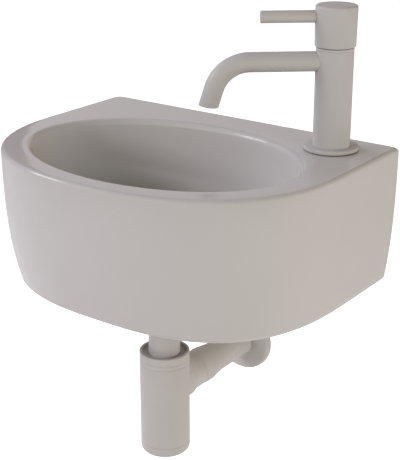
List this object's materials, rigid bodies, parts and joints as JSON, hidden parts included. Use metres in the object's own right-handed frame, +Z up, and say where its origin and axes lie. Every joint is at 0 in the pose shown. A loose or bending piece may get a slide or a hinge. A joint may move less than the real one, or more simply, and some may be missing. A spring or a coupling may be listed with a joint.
{
  "type": "hand basin with tap",
  "caption": "Small wall-hung hand basin with a rounded front, a deck-mounted lever tap at the right and a bottle trap underneath.",
  "frame": {"origin": "midway between the two wall bolts, in the plane of the wall", "axes": "+Y into the wall, square to the bolt plane; +Z up; +X to the right as one faces the basin"},
  "size_m": [0.352, 0.303, 0.458],
  "materials": {
    "glazed_ceramic": "satin glaze, warm light grey",
    "grey_paint": "matte powder coat, warm light grey",
    "brass": "machined",
    "rubber": "matte black",
    "steel": "turned",
    "plastic": "moulded, off-white",
    "disc_ceramic": "lapped"
  },
  "bodies": {
    "fixed": {"basin": "glazed_ceramic", "wall_bushes": "plastic", "tap_seal": "rubber", "tap_flange": "grey_paint", "tap_body": "grey_paint", "slide_ring": "grey_paint", "spout": "grey_paint", "outlet_seal_ring": "rubber", "outlet_insert": "plastic", "headwork_body": "brass", "headwork_seat": "rubber", "fixed_disc": "disc_ceramic", "threaded_shank": "brass", "centring_bush": "plastic", "rubber_washer": "rubber", "metal_washer": "steel", "backnut": "brass", "inlet_tail": "brass", "waste_strainer": "grey_paint", "waste_top_seal": "rubber", "waste_bottom_seal": "rubber", "waste_body": "brass", "waste_screw": "steel", "inlet_nut": "grey_paint", "inlet_seal": "rubber", "drop_pipe": "grey_paint", "trap_ring": "grey_paint", "ring_seal": "rubber", "trap_cup": "grey_paint", "trap_cap": "grey_paint", "cap_seal": "rubber", "outlet_nut": "grey_paint", "outlet_seal": "rubber", "outlet_pipe": "grey_paint", "wall_rosette": "grey_paint"},
    "handle": {"handle_knob": "grey_paint", "lever_pin": "grey_paint", "grub_screw": "steel", "moving_disc": "disc_ceramic", "spindle": "brass", "spindle_seals": "rubber", "spindle_clip": "steel"}
  },
  "joints": [
    {"name": "handle_turn", "type": "hinge", "parent": "fixed", "child": "handle", "pos_m": [0.1247, -0.044, 0.19], "axis": [0, 0, 1], "range_deg": [0, 90]}
  ]
}
